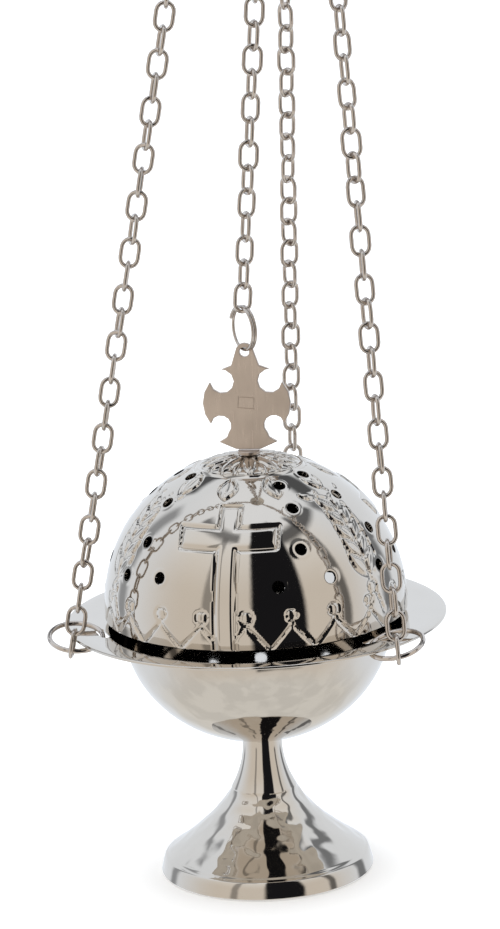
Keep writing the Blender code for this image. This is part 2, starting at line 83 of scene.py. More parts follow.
# ---- sizes of the shells, rings and fittings
SHELL_WALL = 1.0 * MM
SCREW_HOLE = 1.9 * MM           # the foot screw's hole in the bowl and the foot
LID_EDGE_ROLL = 0.25 * MM
LID_ROWS = 140
BOWL_RADIUS = 42.2 * MM
BOWL_ROWS = 80
FLANGE_DISH = 0.6 * MM          # how far the flange's top sinks towards the bowl
FLANGE_BLEND = 0.35 * MM        # soft corner under the flange
SLOT_WIDTH, SLOT_LENGTH, SLOT_CORNER = 2.8 * MM, 10.5 * MM, 1.2 * MM
RIM_RING_RADIUS, RIM_RING_WIRE = 8.2 * MM, 0.8 * MM
HAND_RING_RADIUS, HAND_RING_WIRE = 16.5 * MM, 1.5 * MM
LIFT_RING_RADIUS, LIFT_RING_WIRE = 6.0 * MM, 0.8 * MM
SPLIT_RING_RADIUS, SPLIT_RING_WIRE = 6.7 * MM, 0.5 * MM
SPLIT_RING_TURNS = 1.75
FOOT_WALL, FOOT_TOP_WALL = 1.2 * MM, 1.5 * MM
FOOT_BAND, FOOT_TAPER, FOOT_STEP = 5.4 * MM, 1.3 * MM, 1.3 * MM
NECK_RADIUS = 6.2 * MM
FOOT_CURVE = 2.1                # how fast the foot narrows towards its neck
FOOT_ROWS = 90
CUP_WALL, CUP_RADIUS = 0.9 * MM, 30 * MM
STAMP_INSIDE, STAMP_OUTSIDE, STAMP_DEPTH = 2.5 * MM, 3.0 * MM, 0.35 * MM
SMOOTH_BELOW = 40               # degrees: a corner with a bigger turn keeps its edge
# ---- the lid's pattern, in degrees and millimetres
PATTERN_TURN = -12
SECTORS = 3
VENTS = ((20, 21), (21, 43), (33, 33), (50, 36), (20, 71),      # latitude, then turn from a cross
         (22, 91), (34, 77), (51, 73), (62, 35), (65, 66))
VENT_RADIUS = 1.95
LEAF_PLACE = 63             # turn from a cross to the leaf branch beside it
ZIGZAGS = 21
ZIGZAG_SHIFT = -4
PETALS = 10
PETAL_RINGS = ((0, 3.6, 11.6, 2.5),     # shift in petals, start, length, half width
               (0.5, 8.0, 7.4, 1.6), (0.5, 18.6, 9.4, 2.9))
CROWN_ARC = 28.5                # inside this the crown's petals, outside it the crosses and leaves
CROSS_TURN = math.radians(-9)   # so that its face doesn't mirror a dark gap in the studio


# ---- dark gaps in the studio's white: turn from the near side (towards +X) and rise, in degrees,
# then softness and darkness
STUDIO_GAPS = (
    ((-4, 38), (-34, 74), 2.5, 1.0),
    ((-42, -34), (-14, 60), 2.0, 0.55),
    ((68, 76), (-14, 70), 2.5, 0.8),
    ((112, 128), (-14, 55), 4.0, 0.75),
    ((-128, -116), (-14, 45), 4.0, 0.6),
    ((-90, -20), (58, 66), 3.0, 0.75),
    ((25, 110), (54, 64), 3.0, 0.85),
    ((132, 200), (44, 58), 3.0, 0.9),
    ((-200, -140), (36, 48), 3.0, 0.9),
)

# ---- the camera, placed from the thurible's axis and foot
SENSOR_WIDTH, LENS_LENGTH = 36, 139.27      # mm
CAMERA_PITCH = math.radians(13.28)
CAMERA_ROLL = math.radians(-2.61)
CAMERA_ASIDE, CAMERA_BACK, CAMERA_RISE = 0.1 * MM, 1.076, 0.3837


# ---------------------------------------------------------------- settings

class ThuribleSizes(bpy.types.PropertyGroup):
    """Sizes that the finish work uses"""
    chase_depth: FloatProperty(name="Chased line depth", description="How deep the chaser's lines are cut",
                               default=0.55 * MM, unit="LENGTH")
    chase_width: FloatProperty(name="Chased line width", description="Half width of a chased line",
                               default=0.50 * MM, unit="LENGTH")
    cross_raise: FloatProperty(name="Cross raise", description="How far the lid's crosses stand out",
                               default=0.55 * MM, unit="LENGTH")
    hammer_depth: FloatProperty(name="Hammer marks", description="Depth of the planishing marks",
                                default=0.055 * MM, unit="LENGTH")
    lid_facets: IntProperty(name="Lid facets", description="Facets round the lid", default=512)
    shell_facets: IntProperty(name="Shell facets", description="Facets round the bowl and foot", default=256)
    link_wire: FloatProperty(name="Link wire", description="Radius of the chain's wire",
                             default=0.675 * MM, unit="LENGTH")
    link_width: FloatProperty(name="Link width", description="Outside width of a link",
                              default=6.6 * MM, unit="LENGTH")
    link_pitch: FloatProperty(name="Link pitch", description="Length of chain for each link",
                              default=7.1 * MM, unit="LENGTH")


class ThuribleFinish(bpy.types.PropertyGroup):
    """Colours of the metals"""
    polished: FloatVectorProperty(name="Polished nickel", description="Colour of the mirror-polished shells",
                                  subtype="COLOR", size=3, default=(0.66, 0.62, 0.57))
    chain: FloatVectorProperty(name="Chain nickel", description="Colour of the plated wire",
                               subtype="COLOR", size=3, default=(0.63, 0.575, 0.53))
    satin: FloatVectorProperty(name="Satin nickel", description="Colour of the brushed cross",
                               subtype="COLOR", size=3, default=(0.66, 0.575, 0.51))
    steel: FloatVectorProperty(name="Plain steel", description="Colour of the screws and nuts",
                               subtype="COLOR", size=3, default=(0.36, 0.36, 0.37))
    iron: FloatVectorProperty(name="Cup iron", description="Colour of the heat-blackened cup",
                              subtype="COLOR", size=3, default=(0.035, 0.032, 0.030))
    floor: FloatVectorProperty(name="Floor", description="Colour of the studio floor",
                               subtype="COLOR", size=3, default=(0.93, 0.93, 0.93))


def sizes():
    return bpy.context.scene.thurible_sizes


def finish_of():
    return bpy.context.scene.thurible_finish


# ---------------------------------------------------------------- materials

def metal(name, colour, roughness, worn, dents, dent_size, brushed=False):
    """A nickel or steel finish: fine scratches, cloudy wear and shallow dents."""
    if name in bpy.data.materials:
        return bpy.data.materials[name]
    material = bpy.data.materials.new(name)
    material.use_nodes = True
    nodes, links = material.node_tree.nodes, material.node_tree.links
    shader = nodes["Principled BSDF"]
    shader.inputs["Metallic"].default_value = 1.0
    place = nodes.new("ShaderNodeTexCoord")
    stretch = nodes.new("ShaderNodeMapping")
    stretch.inputs["Scale"].default_value = (1, 1, 0.06) if brushed else (1, 1, 1)
    links.new(place.outputs["Object"], stretch.inputs["Vector"])

    clouds = nodes.new("ShaderNodeTexNoise")
    clouds.inputs["Scale"].default_value = 55
    clouds.inputs["Detail"].default_value = 4
    links.new(place.outputs["Object"], clouds.inputs["Vector"])
    tint = nodes.new("ShaderNodeValToRGB")
    tint.color_ramp.elements[0].position = 0.32
    tint.color_ramp.elements[1].position = 0.72
    tint.color_ramp.elements[0].color = (*[c * (1 - worn * 0.35) for c in colour], 1)
    tint.color_ramp.elements[1].color = (*colour, 1)
    links.new(clouds.outputs["Fac"], tint.inputs["Fac"])
    links.new(tint.outputs["Color"], shader.inputs["Base Color"])

    scratches = nodes.new("ShaderNodeTexNoise")
    scratches.inputs["Scale"].default_value = 2600 if brushed else 900
    scratches.inputs["Detail"].default_value = 5
    links.new(stretch.outputs["Vector"], scratches.inputs["Vector"])
    gloss = nodes.new("ShaderNodeMapRange")
    gloss.inputs["From Min"].default_value = 0.3
    gloss.inputs["From Max"].default_value = 0.75
    gloss.inputs["To Min"].default_value = roughness
    gloss.inputs["To Max"].default_value = roughness + worn * 0.22
    links.new(scratches.outputs["Fac"], gloss.inputs["Value"])
    links.new(gloss.outputs["Result"], shader.inputs["Roughness"])

    fine = nodes.new("ShaderNodeBump")
    fine.inputs["Strength"].default_value = 0.35 if brushed else 0.06
    fine.inputs["Distance"].default_value = 0.00006
    links.new(scratches.outputs["Fac"], fine.inputs["Height"])
    hollow = nodes.new("ShaderNodeTexVoronoi")
    hollow.feature = "SMOOTH_F1"
    hollow.inputs["Scale"].default_value = 1 / dent_size
    hollow.inputs["Smoothness"].default_value = 0.7
    links.new(place.outputs["Object"], hollow.inputs["Vector"])
    broad = nodes.new("ShaderNodeBump")
    broad.inputs["Strength"].default_value = dents
    broad.inputs["Distance"].default_value = 0.0006
    links.new(hollow.outputs["Distance"], broad.inputs["Height"])
    links.new(fine.outputs["Normal"], broad.inputs["Normal"])
    links.new(broad.outputs["Normal"], shader.inputs["Normal"])
    return material


def polished_nickel():
    return metal("polished_nickel", tuple(finish_of().polished), roughness=0.035,
                 worn=0.10, dents=0.03, dent_size=0.011)


def hammered_nickel():
    return metal("hammered_nickel", tuple(finish_of().polished), roughness=0.045,
                 worn=0.12, dents=0.10, dent_size=0.0065)


def chain_nickel():
    return metal("chain_nickel", tuple(finish_of().chain), roughness=0.07,
                 worn=0.28, dents=0.06, dent_size=0.0012)


def satin_nickel():
    return metal("satin_nickel", tuple(finish_of().satin), roughness=0.26,
                 worn=0.55, dents=0.04, dent_size=0.004, brushed=True)


def plain_steel():
    return metal("plain_steel", tuple(finish_of().steel), roughness=0.32,
                 worn=0.5, dents=0.05, dent_size=0.002, brushed=True)


def cup_iron():
    """Heat-blackened iron, matt and slightly pitted."""
    if "cup_iron" in bpy.data.materials:
        return bpy.data.materials["cup_iron"]
    material = metal("cup_iron", tuple(finish_of().iron), roughness=0.55,
                     worn=0.8, dents=0.3, dent_size=0.0015)
    material.node_tree.nodes["Principled BSDF"].inputs["Metallic"].default_value = 0.4
    return material


# ---------------------------------------------------------------- mesh helpers

def settle(piece_name, bm, material, body, nodes, sharp=SMOOTH_BELOW):
    """Makes the finished piece, which stands for its CAD nodes and rides on its body."""
    bmesh.ops.recalc_face_normals(bm, faces=bm.faces)
    mesh = bpy.data.meshes.new(piece_name)
    bm.to_mesh(mesh)
    bm.free()
    mesh.materials.append(material)
    mesh.shade_smooth()
    mesh.set_sharp_from_angle(angle=math.radians(sharp))
    piece = bpy.data.objects.new(piece_name, mesh)
    bpy.context.scene.collection.objects.link(piece)
    if nodes:
        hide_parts(*nodes)
    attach(piece, body)
    return piece


def turned(outline, facets, middle=AXIS):
    """A closed outline of (radius, height) points, turned about the upright line through middle."""
    bm = bmesh.new()
    ring = [bm.verts.new((middle.x + radius, middle.y, height)) for radius, height in outline]
    edges = [bm.edges.new(pair) for pair in zip(ring, ring[1:] + ring[:1])]
    bmesh.ops.spin(bm, geom=ring + edges, cent=(middle.x, middle.y, 0), axis=(0, 0, 1), angle=math.tau,
                   steps=facets, use_merge=True, use_duplicate=False)
    bmesh.ops.remove_doubles(bm, verts=bm.verts, dist=0.0004 * MM)
    bmesh.ops.dissolve_degenerate(bm, edges=bm.edges, dist=0.0002 * MM)
    return bm


def wire_ring(radius, wire, facets=96, sides=16):
    """A closed ring of round wire in the XZ plane."""
    bm = bmesh.new()
    profile = bmesh.ops.create_circle(bm, segments=sides, radius=wire,
                                      matrix=Matrix.Translation((radius, 0, 0)))["verts"]
    edges = list(dict.fromkeys(edge for vert in profile for edge in vert.link_edges))
    bmesh.ops.spin(bm, geom=profile + edges, cent=(0, 0, 0), axis=(0, 1, 0), angle=math.tau,
                   steps=facets, use_merge=True, use_duplicate=False)
    bmesh.ops.remove_doubles(bm, verts=bm.verts, dist=0.001 * MM)
    return bm


def node_points(node):
    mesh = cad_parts[node].data
    return np.array([vert.co for vert in mesh.vertices], float)


def axes_of(node):
    """The middle of a node, and its longest, middle and shortest directions."""
    unique = np.unique(np.round(node_points(node), 7), axis=0)
    middle = unique.mean(0)
    _, ways = np.linalg.eigh(np.cov((unique - middle).T))
    longest, between, shortest = (Vector(ways[:, k]) for k in (2, 1, 0))
    return Vector(middle), longest, between, shortest


def placed(middle, x_axis, z_axis):
    """The turn and place that takes X to x_axis and Z as near as it can to z_axis."""
    x_axis = x_axis.normalized()
    z_axis = (z_axis - x_axis * z_axis.dot(x_axis)).normalized()
    turn = Matrix((x_axis, z_axis.cross(x_axis), z_axis)).transposed().to_4x4()
    return Matrix.Translation(middle) @ turn


def cut(piece, tool, sharp=SMOOTH_BELOW):
    """Cuts the tool out of the piece, and drops the tool."""
    modifier = piece.modifiers.new("cut", "BOOLEAN")
    modifier.operation = "DIFFERENCE"
    modifier.solver = "EXACT"
    modifier.object = tool
    shape = bpy.data.meshes.new_from_object(piece.evaluated_get(bpy.context.evaluated_depsgraph_get()))
    piece.modifiers.remove(modifier)
    old = piece.data
    piece.data = shape
    bpy.data.meshes.remove(old)
    bpy.data.objects.remove(tool)
    shape.shade_smooth()
    shape.set_sharp_from_angle(angle=math.radians(sharp))


def tool_from(bm):
    bmesh.ops.recalc_face_normals(bm, faces=bm.faces)
    mesh = bpy.data.meshes.new("tool")
    bm.to_mesh(mesh)
    bm.free()
    tool = bpy.data.objects.new("tool", mesh)
    bpy.context.scene.collection.objects.link(tool)
    return tool


def dissolved_copy(node):
    """A CAD node's shape with its flat faces whole again."""
    bm = bmesh.new()
    bm.from_mesh(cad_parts[node].data)
    bmesh.ops.remove_doubles(bm, verts=bm.verts, dist=0.002 * MM)
    bmesh.ops.dissolve_limit(bm, angle_limit=math.radians(2), verts=bm.verts, edges=bm.edges)
    return bm


def bevel_sharp(bm, width, angle=30, segments=3):
    edges = [edge for edge in bm.edges
             if len(edge.link_faces) == 2 and edge.calc_face_angle(0) > math.radians(angle)]
    bmesh.ops.bevel(bm, geom=edges, offset=width, offset_type="OFFSET", affect="EDGES", segments=segments,
                    profile=0.5, material=-1, clamp_overlap=True)


# ---------------------------------------------------------------- the lid's chased pattern

def from_line(u, v, points):
    """How far each place (u, v) is from a line of joined points."""
    best = np.full(u.shape, np.inf)
    for (au, av), (bu, bv) in zip(points, points[1:]):
        du, dv = bu - au, bv - av
        along = np.clip(((u - au) * du + (v - av) * dv) / (du * du + dv * dv), 0, 1)
        best = np.minimum(best, np.hypot(u - au - along * du, v - av - along * dv))
    return best


def from_box(u, v, low, high):
    """Signed distance from an upright rectangle, negative inside."""
    mid_u, mid_v = (low[0] + high[0]) / 2, (low[1] + high[1]) / 2
    out_u = np.abs(u - mid_u) - (high[0] - low[0]) / 2
    out_v = np.abs(v - mid_v) - (high[1] - low[1]) / 2
    outside = np.hypot(np.maximum(out_u, 0), np.maximum(out_v, 0))
    return outside + np.minimum(np.maximum(out_u, out_v), 0)


def chased(distance, width):
    """The section of a chased line: a groove with a slight burr on each side."""
    groove = np.exp(-(distance / width) ** 2)
    burr = np.exp(-((distance - 2.1 * width) / width) ** 2)
    return -groove + 0.22 * burr


def petal(u, v, start, way, length, half_width):
    """Signed distance from the edge of a pointed leaf, below 0 inside it."""
    along = (u - start[0]) * way[0] + (v - start[1]) * way[1]
    across = np.abs(-(u - start[0]) * way[1] + (v - start[1]) * way[0])
    width = half_width * np.sin(math.pi * np.clip(along / length, 0, 1)) ** 0.8
    beyond = np.maximum(-along, along - length)
    return np.where(beyond > 0, np.hypot(across, beyond), across - width)


def cross_relief(u, v, width, stand):
    """A Latin cross that stands a little proud inside a chased outline."""
    stem = from_box(u, v, (-3.1, -2.9), (3.1, 43.5))
    arms = from_box(u, v, (-15.2, 28.2), (15.2, 35.6))
    edge = np.minimum(stem, arms)
    raised = stand * np.clip(-edge / 1.4, 0, 1) ** 0.7
    return raised, chased(np.abs(edge), width)


def leaf_relief(u, v, width):
    """A branch of pointed leaves that climbs the dome."""
    raised = np.zeros(u.shape)
    lines = chased(from_line(u, v, [(0, 13.5), (0, 42)]), width * 0.8)
    for step in range(5):
        foot = 14.5 + 5.6 * step
        for side in (-1, 1):
            lean = math.radians(33)
            way = (side * math.sin(lean), math.cos(lean))
            edge = petal(u, v, (0, foot), way, 10.5 - 0.7 * step, 2.3)
            raised = np.maximum(raised, 0.34 * np.clip(-edge / 2.0, 0, 1) ** 0.6)
            lines = np.minimum(lines, chased(np.abs(edge), width * 0.9))
            end = (way[0] * 7, foot + way[1] * 7)
            lines = np.minimum(lines, 0.5 * chased(from_line(u, v, [(0, foot), end]), width * 0.6))
    lines = np.minimum(lines, chased(np.abs(np.hypot(u, v - 11.2) - 1.9), width * 0.7))
    for side in (-1, 1):
        leg = from_line(u, v, [(side * 1.2, 9.6), (side * 4.2, 2.8)])
        lines = np.minimum(lines, chased(leg, width * 0.8))
        from_curl = np.hypot(u - side * 5.6, v - 46.0)
        lines = np.minimum(lines, chased(np.abs(from_curl - 3.1), width * 0.8))
        raised = np.maximum(raised, 0.3 * np.clip(1 - from_curl / 2.4, 0, 1))
    return raised, lines


def border_relief(turn, v, radius, width):
    """The zigzag round the lid's edge, with a ring punch over each peak."""
    period = 360 / ZIGZAGS
    local = (turn - ZIGZAG_SHIFT + period / 2) % period - period / 2
    u = np.radians(local) * radius
    half = math.radians(period / 2) * radius
    lines = chased(from_line(u, v, [(-half, -2.5), (0, 5.0), (half, -2.5)]), width * 0.9)
    spot = np.hypot(u, v - 7.6)
    lines = np.minimum(lines, 0.9 * chased(np.abs(spot - 1.85), width * 0.6))
    return 0.16 * np.clip(1 - spot / 1.5, 0, 1), lines


def crown_relief(arc, turn, width):
    """Rings of pointed petals round the finial, with chased circles; arc is the way down from the crown."""
    raised = np.zeros(turn.shape)
    outer, inner = chased(np.abs(arc - 17.6), width), chased(np.abs(arc - 15.9), width * 0.7)
    lines = np.minimum(outer, inner)
    step = 360 / PETALS
    for shift, start, length, half_width in PETAL_RINGS:
        local = np.radians((turn - shift * step + step / 2) % step - step / 2)
        u, v = arc * np.sin(local), arc * np.cos(local)
        edge = petal(u, v, (0, start), (0, 1), length, half_width)
        raised = np.maximum(raised, 0.38 * np.clip(-edge / 2.0, 0, 1) ** 0.6)
        lines = np.minimum(lines, chased(np.abs(edge), width * 0.9))
        vein = from_line(u, v, [(0, start), (0, start + length)])
        lines = np.minimum(lines, 0.5 * chased(vein, width * 0.6))
    return raised, lines


def lid_relief(latitude, turn, v):
    """Height of the lid's work, in metres; latitude and turn are in degrees, v in mm up the dome."""
    made = sizes()
    width = made.chase_width / MM
    radius = DOME_RADIUS / MM
    belt = radius * np.cos(np.radians(np.maximum(latitude, 0)))
    since = (turn - PATTERN_TURN) % (360 / SECTORS)
    to_cross = (since + 180 / SECTORS) % (360 / SECTORS) - 180 / SECTORS
    to_leaf = since - LEAF_PLACE
    crown = np.radians(90 - latitude) * radius
    raised_cross, line_cross = cross_relief(np.radians(to_cross) * belt, v, width, made.cross_raise / MM)
    raised_leaf, line_leaf = leaf_relief(np.radians(to_leaf) * belt, v, width)
    raised_edge, line_edge = border_relief(turn, v, radius, width)
    raised_crown, line_crown = crown_relief(crown, turn, width)
    field = crown > CROWN_ARC
    raised = np.where(field, np.maximum(np.maximum(raised_cross, raised_leaf), raised_edge), raised_crown)
    lines = np.minimum(np.where(field, np.minimum(line_cross, line_leaf), 0), line_crown)
    on_cross = raised_cross > 0.05
    lines = np.minimum(lines, np.where(on_cross, 0, line_edge))
    for sector in range(SECTORS):
        for vent_latitude, vent_turn in VENTS:
            away = (turn - PATTERN_TURN - vent_turn - sector * 360 / SECTORS + 180) % 360 - 180
            spot = np.hypot(np.radians(away) * belt, np.radians(latitude - vent_latitude) * radius)
            fade = np.clip((spot - 2.6) / 1.2, 0, 1)
            raised, lines = raised * fade, lines * fade
            raised = raised + 0.10 * np.exp(-((spot - 2.5) / 0.45) ** 2)
    return (raised + lines * made.chase_depth / MM) * MM


# ---------------------------------------------------------------- the shells

class THURIBLE_OT_lid(bpy.types.Operator):
    """Raise, chase and pierce the domed lid"""
    bl_idname = "thurible.lid"
    bl_label = "Domed lid"

    def execute(self, context):
        bm = self.shell()
        self.chase(bm)
        lid = settle("lid_shell", bm, polished_nickel(), "lid", ["lid"])
        cut(lid, self.vents())
        return {"FINISHED"}

    def shell(self):
        """The plain dome: a half ball on a short upright wall."""
        def ball(radius, rows):
            last = math.acos(CROWN_HOLE / radius)
            turns = [last * i / rows for i in range(rows + 1)]
            return [(radius * math.cos(t), DOME_MIDDLE + radius * math.sin(t)) for t in turns]

        base, inner, wall_rows = LID_LOW.z, DOME_RADIUS - SHELL_WALL, 7
        outside = [(DOME_RADIUS, base + LID_EDGE_ROLL)]
        outside += [(DOME_RADIUS, base + (DOME_MIDDLE - base) * i / wall_rows) for i in range(1, wall_rows)]
        outside += ball(DOME_RADIUS, LID_ROWS)
        inside = [(inner, base), (inner, base + 1.5 * MM)] + ball(inner, 24)
        outline = [(DOME_RADIUS - LID_EDGE_ROLL, base)] + outside + inside[::-1]
        return turned(outline, sizes().lid_facets)

    def chase(self, bm):
        """Moves the outer skin in and out by the pattern."""
        middle = AXIS + UP * DOME_MIDDLE
        skin = []
        for vert in bm.verts:
            away = vert.co - middle
            level = away.length if away.z > 0 else away.xy.length
            if level > DOME_RADIUS - SHELL_WALL / 2 and vert.co.z > LID_LOW.z + LID_EDGE_ROLL / 2:
                skin.append((vert, away))
        away = np.array([offset for _, offset in skin])
        flat = np.hypot(away[:, 0], away[:, 1])
        latitude = np.degrees(np.arctan2(np.maximum(away[:, 2], 0), flat))
        turn = np.degrees(np.arctan2(away[:, 0], -away[:, 1]))
        v = np.where(away[:, 2] > 0, np.radians(latitude) * DOME_RADIUS, away[:, 2]) / MM
        heights = lid_relief(latitude, turn, v)
        for (vert, offset), height in zip(skin, heights):
            way = offset.normalized() if offset.z > 0 else Vector((offset.x, offset.y, 0)).normalized()
            vert.co += way * float(height)

    def vents(self):
        """Round punches that point at the dome's middle."""
        middle = AXIS + UP * DOME_MIDDLE
        tool = bmesh.new()
        for sector in range(SECTORS):
            for latitude, turn in VENTS:
                rise = math.radians(latitude)
                about = math.radians(turn + PATTERN_TURN + sector * 360 / SECTORS)
                flat = math.cos(rise)
                way = Vector((math.sin(about) * flat, -math.cos(about) * flat, math.sin(rise)))
                stand = Matrix.Translation(middle + way * DOME_RADIUS)
                bmesh.ops.create_cone(tool, cap_ends=True, segments=28, radius1=VENT_RADIUS * MM,
                                      radius2=VENT_RADIUS * MM, depth=6 * MM,
                                      matrix=stand @ way.to_track_quat("Z", "Y").to_matrix().to_4x4())
        return tool_from(tool)


def hammer(bm, keep, count, reach, depth, seed):
    """Shallow planishing marks, spread evenly over the points that keep allows."""
    verts = [vert for vert in bm.verts if keep(vert.co)]
    places = np.array([vert.co for vert in verts])
    rng = np.random.default_rng(seed)
    marks = places[rng.choice(len(places), count, replace=False)]
    strength = rng.uniform(0.4, 1.0, count)
    push = np.zeros(len(places))
    for mark, strong in zip(marks, strength):
        near = np.linalg.norm(places - mark, axis=1) / reach
        push += strong * np.where(near < 1, (1 - near ** 2) ** 2, 0)
    for vert, amount in zip(verts, push):
        inward = Vector((AXIS.x - vert.co.x, AXIS.y - vert.co.y, 0)).normalized()
        vert.co += inward * float(amount * depth)


class THURIBLE_OT_bowl(bpy.types.Operator):
    """Sink the bowl and its broad flange"""
    bl_idname = "thurible.bowl"
    bl_label = "Bowl and flange"

    def execute(self, context):
        bm = self.shell()
        centre = AXIS + UP * FLANGE_MIDDLE
        outer = (BOWL_RADIUS - SHELL_WALL / 2) * 0.93
        hammer(bm, lambda place: place.z < FLANGE_MIDDLE - 3 * MM and (place - centre).length > outer,
               count=520, reach=4.2 * MM, depth=sizes().hammer_depth, seed=11)
        bowl = settle("bowl_shell", bm, polished_nickel(), "hanger", ["bowl"])
        cut(bowl, self.slots())
        return {"FINISHED"}

    def shell(self):
        """Half an egg with a flat flange round its rim."""
        half = FLANGE_THICK / 2
        top_level, under = FLANGE_MIDDLE + half, FLANGE_MIDDLE - half
        depth = BOWL_DEPTH / math.sqrt(1 - (SCREW_HOLE / BOWL_RADIUS) ** 2)

        def curve(inset, rows):
            wide, deep = BOWL_RADIUS - inset, depth - inset
            last = math.acos(SCREW_HOLE / wide)
            turns = [last * (i + 1) / rows for i in range(rows)]
            return [(wide * math.cos(t), FLANGE_MIDDLE - deep * math.sin(t)) for t in turns]

        edge = [(FLANGE_RADIUS - half + half * math.sin(t), FLANGE_MIDDLE + half * math.cos(t))
                for t in (math.pi * i / 8 for i in range(9))]
        top = [(BOWL_RADIUS - SHELL_WALL + (FLANGE_RADIUS - BOWL_RADIUS) * share,
                top_level - FLANGE_DISH * (1 - share)) for share in (0, 0.2, 0.4, 0.6, 0.8)]
        blend = [(BOWL_RADIUS + FLANGE_BLEND, under), (BOWL_RADIUS, under - FLANGE_BLEND)]
        outside = [point for point in curve(0, BOWL_ROWS) if point[1] < under - 0.5 * MM]
        inside = [point for point in curve(SHELL_WALL, 24) if point[1] < under]
        return turned(top + edge + blend + outside + inside[::-1], sizes().shell_facets)

    def slots(self):
        """A slot with round corners for each flange ring."""
        tool = bmesh.new()
        for side in SIDES:
            ring_middle = axes_of("rim_ring_" + side)[0]
            outward = Vector((ring_middle.x - AXIS.x, ring_middle.y - AXIS.y, 0))
            place = AXIS + outward.normalized() * (outward.length - RIM_RING_RADIUS) + UP * FLANGE_MIDDLE
            made = bmesh.ops.create_cube(tool, size=1)["verts"]
            bmesh.ops.scale(tool, verts=made, vec=(SLOT_WIDTH, SLOT_LENGTH, 4 * FLANGE_THICK))
            edges = dict.fromkeys(edge for vert in made for edge in vert.link_edges)
            upright = [edge for edge in edges if abs(edge.verts[0].co.z - edge.verts[1].co.z) > MM]
            bmesh.ops.bevel(tool, geom=upright, offset=SLOT_CORNER, offset_type="OFFSET", affect="EDGES",
                            segments=5, profile=0.5, material=-1)
            fresh = [vert for vert in tool.verts if vert.co.length < SLOT_LENGTH]
            turn = Matrix.Rotation(math.atan2(outward.y, outward.x), 4, "Z")
            bmesh.ops.transform(tool, verts=fresh, matrix=Matrix.Translation(place) @ turn)
        return tool_from(tool)


class THURIBLE_OT_foot(bpy.types.Operator):
    """Spin the trumpet foot and planish it"""
    bl_idname = "thurible.foot"
    bl_label = "Trumpet foot"

    def execute(self, context):
        base = FOOT_LOW.z
        start = FOOT_BAND + FOOT_STEP / 2
        ledge = FOOT_RADIUS - FOOT_TAPER - FOOT_STEP

        def radius_at(height):
            share = (height - start) / (FOOT_HEIGHT * 0.98 - start)
            return NECK_RADIUS + (ledge - NECK_RADIUS) * max(0.0, 1 - share) ** FOOT_CURVE

        heights = [start + (FOOT_HEIGHT - start) * i / FOOT_ROWS for i in range(FOOT_ROWS + 1)]
        soft, band_top = 0.4 * MM, base + FOOT_BAND
        narrow = FOOT_RADIUS - FOOT_TAPER
        outside = [(FOOT_RADIUS - soft, base), (FOOT_RADIUS, base + soft),
                   (FOOT_RADIUS - FOOT_TAPER * 0.5, base + FOOT_BAND * 0.55), (narrow, band_top - 0.5 * MM),
                   (narrow - 0.5 * MM, band_top), (ledge + soft, band_top + 0.12 * MM)]
        outside += [(radius_at(height), base + height) for height in heights]
        ceiling = base + FOOT_HEIGHT - FOOT_TOP_WALL
        inside = [(FOOT_RADIUS - FOOT_WALL, base), (narrow - FOOT_WALL, band_top - FOOT_WALL)]
        inside += [(radius_at(height) - FOOT_WALL, base + height - FOOT_WALL)
                   for height in heights[::6] if base + height < ceiling - MM]
        inside.append((NECK_RADIUS - FOOT_WALL, ceiling))
        hole = [(SCREW_HOLE, base + FOOT_HEIGHT), (SCREW_HOLE, ceiling)]
        bm = turned(outside + hole + inside[::-1], sizes().shell_facets)
        hammer(bm, lambda place: base + start < place.z < base + FOOT_HEIGHT * 0.62
               and (place.xy - AXIS.xy).length > radius_at(place.z - base) - FOOT_WALL / 2,
               count=330, reach=3.6 * MM, depth=sizes().hammer_depth * 3.2, seed=5)
        settle("foot_shell", bm, hammered_nickel(), "hanger", ["foot"])
        return {"FINISHED"}


